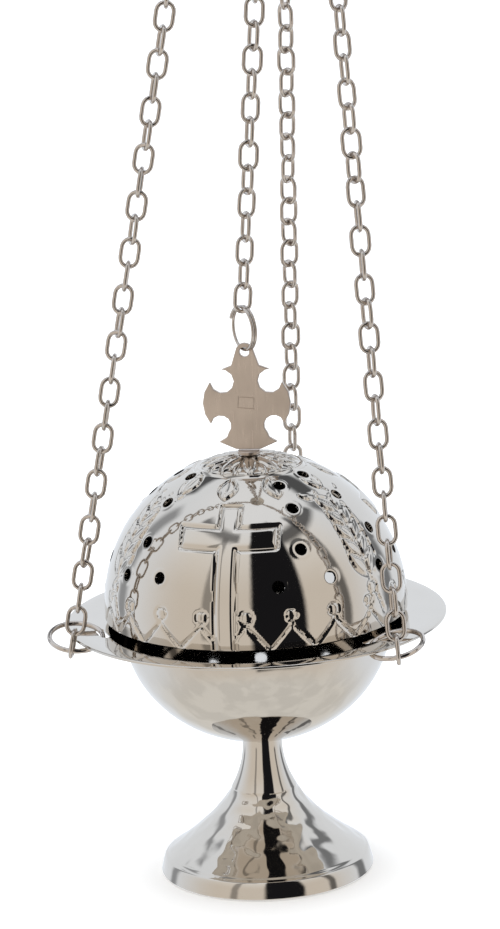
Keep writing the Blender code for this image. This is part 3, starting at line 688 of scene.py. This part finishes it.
class THURIBLE_OT_fittings(bpy.types.Operator):
    """Turn the screws, nuts, boss, charcoal cup and chain cap"""
    bl_idname = "thurible.fittings"
    bl_label = "Cup, cap and fasteners"

    def execute(self, context):
        self.nuts()
        self.turned_pieces()
        self.cup()
        self.cap()
        return {"FINISHED"}

    def nuts(self):
        for node, body in (("foot_nut", "hanger"), ("finial_nut", "lid"), ("cap_nut", "hanger")):
            bm = dissolved_copy(node)
            bevel_sharp(bm, 0.18 * MM, 20, 2)
            settle(node + "_finished", bm, plain_steel(), body, [node])

    def turned_pieces(self):
        for node, body, finish, slot in (("foot_screw", "hanger", plain_steel(), "steel"),
                                         ("finial_boss", "lid", satin_nickel(), "satin")):
            points = node_points(node)
            low, high = points.min(0), points.max(0)
            middle = Vector(((low[0] + high[0]) / 2, (low[1] + high[1]) / 2, 0))
            radii = np.hypot(points[:, 0] - middle.x, points[:, 1] - middle.y)
            wide = radii.max()
            thin = radii[np.abs(radii - wide) > 0.3 * MM].max()
            wide_levels = points[np.abs(radii - wide) < 0.05 * MM][:, 2]
            head_low, head_high = wide_levels.min(), wide_levels.max()
            soft = 0.25 * MM
            if node == "foot_screw":
                outline = [(0, head_low), (wide - 2 * soft, head_low), (wide, head_low + 2 * soft),
                           (wide, head_high), (thin, head_high), (thin, high[2] - soft),
                           (thin - soft, high[2]), (0, high[2])]
            else:
                outline = [(0, low[2]), (thin - soft, low[2]), (thin, low[2] + soft),
                           (thin, head_low), (wide, head_low), (wide, head_high - soft),
                           (wide - soft, head_high), (0, head_high)]
            settle(node + "_finished", turned(outline, 64, middle), finish, body, [node])

    def cup(self):
        rim, bottom = CUP_HIGH.z, CUP_LOW.z
        edge, inner = (CUP_HIGH.x - CUP_LOW.x) / 2, CUP_RADIUS - CUP_WALL
        level, depth = rim - CUP_WALL, rim - CUP_WALL - bottom
        turns = [math.pi / 2 * i / 30 for i in range(1, 30)]
        outside = [(CUP_RADIUS * math.cos(t), level - depth * math.sin(t)) for t in turns]
        inside = [(inner * math.cos(t), level - (depth - CUP_WALL) * math.sin(t)) for t in turns]
        outline = [(edge - 0.5 * MM, level), (CUP_RADIUS, level)] + outside
        outline += [(0, bottom), (0, bottom + CUP_WALL)] + inside[::-1]
        outline += [(inner + 0.3 * MM, rim - 0.2 * MM), (CUP_RADIUS, rim), (edge - 0.3 * MM, rim),
                    (edge, rim - 0.4 * MM)]
        settle("charcoal_cup_finished", turned(outline, 160), cup_iron(), "cup", ["charcoal_cup"])

    def cap(self):
        bm = dissolved_copy("chain_cap")
        settle("chain_cap_finished", bm, hammered_nickel(), "hanger", ["chain_cap"], sharp=25)


class THURIBLE_OT_finial(bpy.types.Operator):
    """Saw out the finial cross, round its edges and stamp its plain panel"""
    bl_idname = "thurible.finial"
    bl_label = "Finial cross"

    def execute(self, context):
        bm = dissolved_copy("finial_cross")
        bevel_sharp(bm, 0.28 * MM, 50, 3)
        cross = settle("finial_cross_finished", bm, satin_nickel(), "lid", ["finial_cross"],
                       sharp=12)
        low, high = box_of("finial_cross")
        middle = Vector(((low.x + high.x) / 2, low.y, low.z + (high.z - low.z) * 0.44))
        groove = [(STAMP_INSIDE, -STAMP_DEPTH), (STAMP_OUTSIDE, -STAMP_DEPTH),
                  (STAMP_OUTSIDE, MM), (STAMP_INSIDE, MM)]
        tool = turned(groove, 4, Vector((0, 0, 0)))
        stand = Matrix.Translation(middle) @ Matrix.Rotation(math.radians(5), 4, "Y")
        stand = stand @ Matrix.Rotation(math.pi / 2, 4, "X") @ Matrix.Diagonal((1.25, 0.88, 1, 1))
        bmesh.ops.transform(tool, verts=tool.verts, matrix=stand @ Matrix.Rotation(math.pi / 4, 4, "Z"))
        cut(cross, tool_from(tool), sharp=12)
        centre = Vector(((low.x + high.x) / 2, (low.y + high.y) / 2, 0))
        turn = Matrix.Translation(centre) @ Matrix.Rotation(CROSS_TURN, 4, "Z") @ Matrix.Translation(-centre)
        cross.data.transform(turn)
        return {"FINISHED"}


class THURIBLE_OT_rings(bpy.types.Operator):
    """Bend the flange rings, the hand ring, the lift ring, the cap's eye and the split ring"""
    bl_idname = "thurible.rings"
    bl_label = "Rings"

    def execute(self, context):
        plain = [("rim_ring_" + side, "ring_" + side, RIM_RING_RADIUS, RIM_RING_WIRE) for side in SIDES]
        plain += [("hand_ring", "hand_ring", HAND_RING_RADIUS, HAND_RING_WIRE),
                  ("lift_ring", "lid", LIFT_RING_RADIUS, LIFT_RING_WIRE)]
        for node, body, radius, wire in plain:
            middle, wide, _, normal = axes_of(node)
            bm = wire_ring(radius, wire)
            flat = placed(middle, wide, normal.cross(wide))
            bmesh.ops.transform(bm, verts=bm.verts, matrix=flat)
            settle(node + "_finished", bm, chain_nickel(), body, [node])
        self.split_ring()
        self.eye()
        return {"FINISHED"}

    def split_ring(self):
        """Nearly two turns of one wire, side by side."""
        middle, _, _, normal = axes_of("split_ring")
        wire, steps, turns = SPLIT_RING_WIRE, 150, SPLIT_RING_TURNS
        bm = bmesh.new()
        place = Matrix.Translation((SPLIT_RING_RADIUS, 0, 0))
        bmesh.ops.create_circle(bm, cap_ends=True, segments=12, radius=wire, matrix=place)
        rise = Vector((0, 2.05 * wire / (steps / turns), 0))
        bmesh.ops.spin(bm, geom=bm.faces[:], cent=(0, 0, 0), axis=(0, 1, 0), angle=math.tau * turns,
                       steps=steps, dvec=rise, use_merge=False, use_duplicate=False)
        bmesh.ops.translate(bm, verts=bm.verts, vec=(0, -1.02 * wire * turns, 0))
        bmesh.ops.remove_doubles(bm, verts=bm.verts, dist=0.0005 * MM)
        spin_on = Matrix.Rotation(math.radians(200), 4, "Y")
        bmesh.ops.transform(bm, verts=bm.verts, matrix=placed(middle, normal.cross(UP), UP) @ spin_on)
        settle("split_ring_finished", bm, chain_nickel(), "lid", ["split_ring"])

    def eye(self):
        bm = dissolved_copy("cap_eye")
        settle("cap_eye_finished", bm, chain_nickel(), "hanger", ["cap_eye"], sharp=50)


# ---------------------------------------------------------------- chains

def bent_link(length):
    """One link of round wire, standing along Z with its width along X."""
    made = sizes()
    wire, side = made.link_wire, made.link_width / 2 - made.link_wire
    straight = length / 2 - made.link_width / 2
    bm = bmesh.new()
    ring = bmesh.ops.create_circle(bm, segments=10, radius=wire,
                                   matrix=Matrix.Translation((side, 0, 0)))["verts"]
    edges = list(dict.fromkeys(edge for vert in ring for edge in vert.link_edges))
    grown = bmesh.ops.extrude_edge_only(bm, edges=edges)["geom"]
    top = [item for item in grown if isinstance(item, bmesh.types.BMVert)]
    top_edges = [item for item in grown if isinstance(item, bmesh.types.BMEdge)
                 and all(vert in top for vert in item.verts)]
    bmesh.ops.translate(bm, verts=top, vec=(0, 0, straight))
    bent = bmesh.ops.spin(bm, geom=top + top_edges, cent=(0, 0, straight), axis=(0, -1, 0), angle=math.pi,
                          steps=8, use_merge=False, use_duplicate=False)["geom_last"]
    end_edges = [item for item in bent if isinstance(item, bmesh.types.BMEdge)]
    down = bmesh.ops.extrude_edge_only(bm, edges=end_edges)["geom"]
    bmesh.ops.translate(bm, verts=[item for item in down if isinstance(item, bmesh.types.BMVert)],
                        vec=(0, 0, -straight))
    bmesh.ops.mirror(bm, geom=bm.verts[:] + bm.edges[:] + bm.faces[:], merge_dist=0.001 * MM, axis="Z")
    bmesh.ops.remove_doubles(bm, verts=bm.verts, dist=0.002 * MM)
    bmesh.ops.recalc_face_normals(bm, faces=bm.faces)
    mesh = bpy.data.meshes.new("link")
    bm.to_mesh(mesh)
    bm.free()
    return mesh


def link_run(name, body):
    """A whole chain of real links, from its low end link to its top one."""
    low, _, low_across, _ = axes_of(name + "_low_link")
    top, _, top_across, _ = axes_of(name + "_top_link")
    way = (top - low).normalized()
    made = sizes()
    spaces = round((top - low).length / made.link_pitch)
    pitch = (top - low).length / spaces
    link = bent_link(pitch + 4.05 * made.link_wire)
    first = (low_across - way * low_across.dot(way)).normalized()
    side = way.cross(first)
    last = math.degrees(math.atan2(top_across.dot(side), top_across.dot(first)))
    drift = (last - spaces * 90 + 90) % 180 - 90
    rng = random.Random(name)
    bm = bmesh.new()
    for step in range(spaces + 1):
        inner = 0 < step < spaces
        turn = math.radians(step * 90 + drift * step / spaces + (rng.uniform(-14, 14) if inner else 0))
        across = first * math.cos(turn) + side * math.sin(turn)
        nod = way + side * (rng.uniform(-0.02, 0.02) if inner else 0)
        before = len(bm.verts)
        bm.from_mesh(link)
        bm.verts.ensure_lookup_table()
        fresh = bm.verts[before:]
        middle = low + way * pitch * step
        bmesh.ops.transform(bm, verts=fresh, matrix=placed(middle, across, nod))
    bpy.data.meshes.remove(link)
    replaced = [name, name + "_low_link", name + "_top_link"]
    settle(name + "_links", bm, chain_nickel(), body, replaced, sharp=60)


class THURIBLE_OT_chains(bpy.types.Operator):
    """Link up the three side chains and the lid's chain"""
    bl_idname = "thurible.chains"
    bl_label = "Chains"

    def execute(self, context):
        for side in SIDES:
            link_run("chain_" + side, "hanger")
        link_run("chain_lid", "lid")
        return {"FINISHED"}


# ---------------------------------------------------------------- studio

class THURIBLE_OT_stage(bpy.types.Operator):
    """Set the pale floor, the white world with its dark gaps, the soft lights and the camera"""
    bl_idname = "thurible.stage"
    bl_label = "Studio"

    def execute(self, context):
        self.floor()
        self.world()
        self.lights()
        self.camera()
        context.scene.view_settings.view_transform = "Standard"
        return {"FINISHED"}

    def floor(self):
        level = FOOT_LOW.z - 0.4 * MM
        bm = bmesh.new()
        bmesh.ops.create_grid(bm, x_segments=1, y_segments=1, size=9)
        bmesh.ops.translate(bm, verts=bm.verts, vec=(AXIS.x, 4, level))
        mesh = bpy.data.meshes.new("floor")
        bm.to_mesh(mesh)
        bm.free()
        material = bpy.data.materials.new("studio_floor")
        material.use_nodes = True
        shader = material.node_tree.nodes["Principled BSDF"]
        shader.inputs["Base Color"].default_value = (*finish_of().floor, 1)
        shader.inputs["Roughness"].default_value = 0.9
        shader.inputs["Emission Color"].default_value = (1, 1, 1, 1)
        shader.inputs["Emission Strength"].default_value = 0.35     # a slight glow keeps it white
        mesh.materials.append(material)
        piece = bpy.data.objects.new("floor", mesh)
        bpy.context.scene.collection.objects.link(piece)
        piece.visible_glossy = False    # kept out of the metal's reflections

    def world(self):
        """A white tent: warm towards the camera's side, cooler overhead, with dark gaps."""
        world = bpy.data.worlds.new("studio")
        bpy.context.scene.world = world
        world.use_nodes = True
        nodes, links = world.node_tree.nodes, world.node_tree.links
        where = nodes.new("ShaderNodeTexCoord")
        split = nodes.new("ShaderNodeSeparateXYZ")
        links.new(where.outputs["Generated"], split.inputs["Vector"])

        def math_node(operation, first, second=None):
            node = nodes.new("ShaderNodeMath")
            node.operation = operation
            for socket, value in zip(node.inputs, (first, second)):
                if isinstance(value, (int, float)):
                    socket.default_value = value
                elif value is not None:
                    links.new(value, socket)
            return node.outputs["Value"]

        toward = math_node("MULTIPLY", split.outputs["Y"], -1.0)
        turn = math_node("ARCTAN2", split.outputs["X"], toward)
        rise = math_node("ARCSINE", split.outputs["Z"])

        def step(value, low, high):
            """0 below low to 1 above high, in degrees."""
            node = nodes.new("ShaderNodeMapRange")
            node.interpolation_type = "SMOOTHSTEP"
            node.inputs["From Min"].default_value = math.radians(low)
            node.inputs["From Max"].default_value = math.radians(high)
            links.new(value, node.inputs["Value"])
            return node.outputs["Result"]

        def window(value, low, high, soft):
            return math_node("MULTIPLY", step(value, low - soft, low + soft),
                             math_node("SUBTRACT", 1.0, step(value, high - soft, high + soft)))

        def blend(share, first, second):
            node = nodes.new("ShaderNodeMix")
            node.data_type = "RGBA"
            links.new(share, node.inputs["Factor"])
            # the colour sockets of a mix node: 6 and 7 in, 2 out
            for socket, colour in ((node.inputs[6], first), (node.inputs[7], second)):
                if isinstance(colour, tuple):
                    socket.default_value = (*colour, 1)
                else:
                    links.new(colour, socket)
            return node.outputs[2]

        near = blend(step(rise, 15, 60), (0.80, 0.74, 0.665), (0.95, 0.94, 0.92))
        away = math_node("ABSOLUTE", turn)
        colour = blend(step(away, 55, 120), near, (0.93, 0.99, 1.07))
        colour = blend(step(rise, 50, 75), colour, (1.0, 1.05, 1.12))
        mottle = nodes.new("ShaderNodeTexNoise")
        mottle.inputs["Scale"].default_value = 5
        links.new(where.outputs["Generated"], mottle.inputs["Vector"])
        low = blend(step(mottle.outputs["Fac"], math.degrees(0.4), math.degrees(0.6)),
                    (0.86, 0.85, 0.815), (0.77, 0.76, 0.73))
        colour = blend(step(rise, -28, -52), colour, low)
        for turns, rises, soft, dark in STUDIO_GAPS:
            gap = math_node("MULTIPLY", window(turn, *turns, soft), window(rise, *rises, soft))
            colour = blend(math_node("MULTIPLY", gap, dark), colour, (0.012, 0.012, 0.014))
        links.new(colour, nodes["Background"].inputs["Color"])
        nodes["Background"].inputs["Strength"].default_value = 1.0

    def lights(self):
        target = AXIS + UP * FLANGE_MIDDLE
        soft_boxes = (("overhead_light", (0.1, 0.2, 3.0), 3.0, 60.0, (1.0, 1.0, 1.0)),
                      ("left_light", (-1.5, -0.4, 0.5), 1.0, 1.5, (1.0, 0.98, 0.95)),
                      ("right_light", (1.5, 0.1, 0.6), 1.0, 1.5, (0.95, 0.98, 1.0)))
        for name, offset, size, power, colour in soft_boxes:
            lamp = bpy.data.lights.new(name, "AREA")
            lamp.shape, lamp.size, lamp.energy, lamp.color = "SQUARE", size, power, colour
            piece = bpy.data.objects.new(name, lamp)
            piece.visible_glossy = False
            bpy.context.scene.collection.objects.link(piece)
            piece.location = target + Vector(offset)
            piece.rotation_euler = (target - piece.location).to_track_quat("-Z", "Y").to_euler()

    def camera(self):
        """At the height and distance of someone looking slightly down at the bowl."""
        lens = bpy.data.cameras.new("camera")
        lens.sensor_fit = "AUTO"
        lens.sensor_width = SENSOR_WIDTH
        lens.lens = LENS_LENGTH
        lens.clip_start, lens.clip_end = 0.01, 100
        piece = bpy.data.objects.new("camera", lens)
        bpy.context.scene.collection.objects.link(piece)
        forward = Vector((0, math.cos(CAMERA_PITCH), -math.sin(CAMERA_PITCH)))
        right = Vector((1, 0, 0))
        up = right.cross(forward)
        rolled_right = right * math.cos(CAMERA_ROLL) + up * math.sin(CAMERA_ROLL)
        rolled_up = up * math.cos(CAMERA_ROLL) - right * math.sin(CAMERA_ROLL)
        turn = Matrix((rolled_right, rolled_up, -forward)).transposed().to_4x4()
        stand = AXIS + Vector((CAMERA_ASIDE, -CAMERA_BACK, 0)) + UP * (FOOT_LOW.z + CAMERA_RISE)
        piece.matrix_world = Matrix.Translation(stand) @ turn
        bpy.context.scene.camera = piece


class THURIBLE_PT_panel(bpy.types.Panel):
    """The thurible's pieces"""
    bl_label = "Thurible"
    bl_idname = "THURIBLE_PT_panel"
    bl_space_type = "VIEW_3D"
    bl_region_type = "UI"
    bl_category = "Thurible"

    def draw(self, context):
        for name in ThuribleSizes.__annotations__:
            self.layout.prop(context.scene.thurible_sizes, name)
        for name in ThuribleFinish.__annotations__:
            self.layout.prop(context.scene.thurible_finish, name)
        for operator in OPERATORS:
            self.layout.operator(operator.bl_idname)


OPERATORS = (THURIBLE_OT_lid, THURIBLE_OT_bowl, THURIBLE_OT_foot, THURIBLE_OT_finial, THURIBLE_OT_rings,
             THURIBLE_OT_chains, THURIBLE_OT_fittings, THURIBLE_OT_stage)
CLASSES = (ThuribleSizes, ThuribleFinish, *OPERATORS, THURIBLE_PT_panel)


def register():
    for cls in CLASSES:
        bpy.utils.register_class(cls)
    bpy.types.Scene.thurible_sizes = PointerProperty(type=ThuribleSizes)
    bpy.types.Scene.thurible_finish = PointerProperty(type=ThuribleFinish)


def unregister():
    del bpy.types.Scene.thurible_sizes
    del bpy.types.Scene.thurible_finish
    for cls in reversed(CLASSES):
        bpy.utils.unregister_class(cls)


def main():
    register()
    bpy.ops.thurible.lid()
    bpy.ops.thurible.bowl()
    bpy.ops.thurible.foot()
    bpy.ops.thurible.finial()
    bpy.ops.thurible.rings()
    bpy.ops.thurible.chains()
    bpy.ops.thurible.fittings()
    bpy.ops.thurible.stage()


if __name__ == "__main__":
    main()
